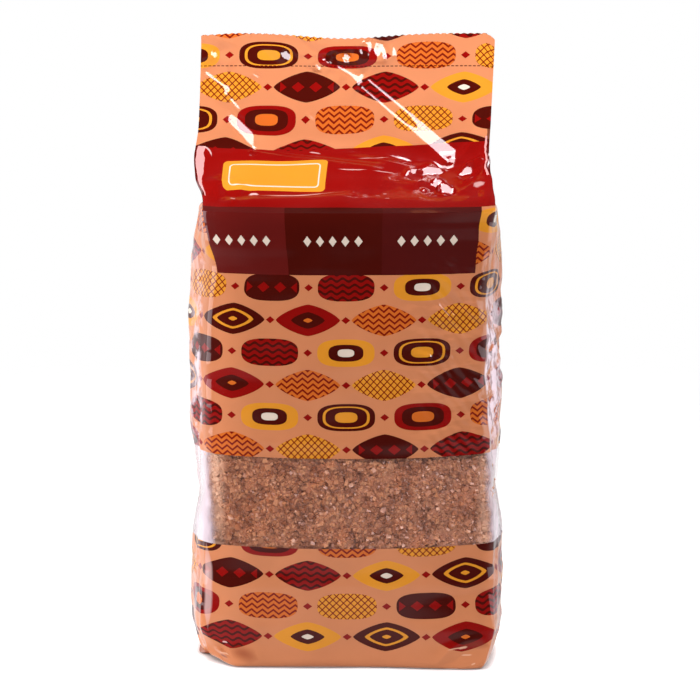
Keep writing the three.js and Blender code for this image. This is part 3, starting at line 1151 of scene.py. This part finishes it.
def crystal_sugar():
    f = Finish("crystal_sugar")
    tone = f.value("Attribute", output=2, attribute_name="Tone")
    place = f.place()
    f.set(Base_Color=damp_sugar(f, place, tone, ink(139, 82, 50), ink(184, 127, 87)))
    f.set(Roughness=0.45, IOR=1.5)
    return f.owner


# ---- The bag ----
front_film = printed_film("printed_film_front", with_label=True)
plain_film = printed_film("printed_film")
for panel in PANELS:
    film = front_film if panel == "front" else plain_film
    finish_piece(printed_panel(panel), film)
finish_piece(base_panel(), plain_film)
finish_piece(base_seal(), plain_film)
seals = [
    back_seal("lower", 1, WINDOW_LOW),
    back_seal("upper", WINDOW_HIGH, FILM_TOP - 0.6),
]
finish_piece(join("back_seal", seals), plain_film)
bare_film = clear_film()
for panel in PANELS:
    clear_panel = film_sheet(f"clear_{panel}", panel, WINDOW_LOW, WINDOW_HIGH)
    finish_piece(clear_panel, bare_film)
clear_seal = back_seal("clear_seal", WINDOW_LOW, WINDOW_HIGH, SEAL_MILKY, SEAL_MILKY_STRETCH)
finish_piece(clear_seal, bare_film)
finish_piece(sugar_core(), core_sugar(), 60)
finish_piece(sugar_grains(), crystal_sugar(), 1)


# ---- Studio ----
def set_up(name, data, place, target):
    """Puts a lamp or a camera in its place and turns it to look at a point."""
    thing = bpy.data.objects.new(name, data)
    bpy.context.collection.objects.link(thing)
    thing.location = place
    direction = type(thing.location)(target) - thing.location
    thing.rotation_euler = direction.to_track_quat("-Z", "Y").to_euler()
    return thing


def softbox(name, place, target, size, watts, lights=True, mirrored=True):
    """A large flat lamp. One that isn't mirrored lights the bag but doesn't show in its gloss, and
    one that doesn't light it only shows there."""
    lamp = bpy.data.lights.new(name, "AREA")
    lamp.shape = "RECTANGLE"
    lamp.size, lamp.size_y = size
    lamp.energy = watts
    lamp.color = (1.0, 0.94, 0.98)
    thing = set_up(name, lamp, place, target)
    thing.visible_diffuse = lights
    thing.visible_glossy = mirrored


def pale_floor():
    """A round pale floor that fades out before its edge. It glows a little where nothing stands
    close over it, so that only the contact shadow is left."""
    bpy.ops.mesh.primitive_circle_add(vertices=96, radius=1.1, fill_type="NGON", location=(0, 0, 0))
    floor = bpy.context.active_object
    floor.name = "floor"
    f = Finish("floor")
    reach = f.value("VectorMath", {0: f.place()}, output=1, operation="LENGTH")
    fade = f.ramp(reach, 0.75, 0.3)
    open_sky = f.value("AmbientOcclusion", {"Distance": 0.003}, output=1, samples=8)
    f.set(Base_Color=(0.6, 0.6, 0.6, 1), Roughness=0.75, Alpha=fade)
    f.set(Emission_Color=(1, 1, 1, 1), Emission_Strength=open_sky ** 2 * 0.8)
    floor.data.materials.append(f.owner)
    floor.visible_glossy = False


def studio_world():
    """White all round behind the bag, a dim room in front of it, where the camera stands, and a
    paler table low in front."""
    bpy.context.scene.world = bpy.data.worlds.new("studio")
    f = Finish("studio", bpy.context.scene.world)
    x, y, z = f.split(f.node("TexCoord").outputs["Generated"])
    low_wall = f.ramp(x, -0.2, 0.7, 1.0, 0.68)
    wall = f.ramp(z, 0.2, 0.6, low_wall, 0.1)
    table = f.ramp(z, -0.4, -0.1, 0.32, 0.02)
    around = f.ramp(y, -0.1, 0.5, table, wall)
    seen = f.node("LightPath").outputs["Is Camera Ray"]
    f.set(Color=(1, 1, 1, 1), Strength=f.ramp(seen, 0.0, 1.0, around, 1.0))


def camera():
    """Seen a little from above, from straight in front."""
    lens = bpy.data.cameras.new("camera")
    lens.lens = 120.6
    lens.sensor_width = 36
    place, target = (0.001, -0.870, 0.245), (0.001, 0, 0.1148)
    bpy.context.scene.camera = set_up("camera", lens, place, target)


camera()
pale_floor()
studio_world()
softbox("left_box", (-0.90, -0.48, 0.36), (0, 0, 0.12), (0.4, 0.7), 7.0, mirrored=False)
softbox("left_strip", (-0.95, 0.05, 0.30), (0, 0, 0.12), (0.35, 0.7), 1.8)
softbox("right_strip", (0.95, 0.05, 0.30), (0, 0, 0.12), (0.35, 0.7), 1.1)
softbox("key_box", (0.45, -0.50, 0.655), (0.03, 0, 0.19), (0.25, 0.25), 3.8, mirrored=False)
softbox("key_gloss", (0.42, -0.46, 0.61), (0.03, 0, 0.19), (0.32, 0.55), 8.0, lights=False)
softbox("high_box", (0.33, -0.24, 0.86), (0, 0, 0.19), (0.14, 0.14), 1.4, mirrored=False)
softbox("high_gloss", (0.36, -0.42, 1.0), (0.03, 0, 0.18), (0.28, 0.3), 4.2, lights=False)
softbox("fill_box", (-0.25, -0.55, 0.75), (0, 0, 0.16), (0.50, 0.30), 2.4, mirrored=False)
bpy.context.scene.view_settings.view_transform = "Standard"
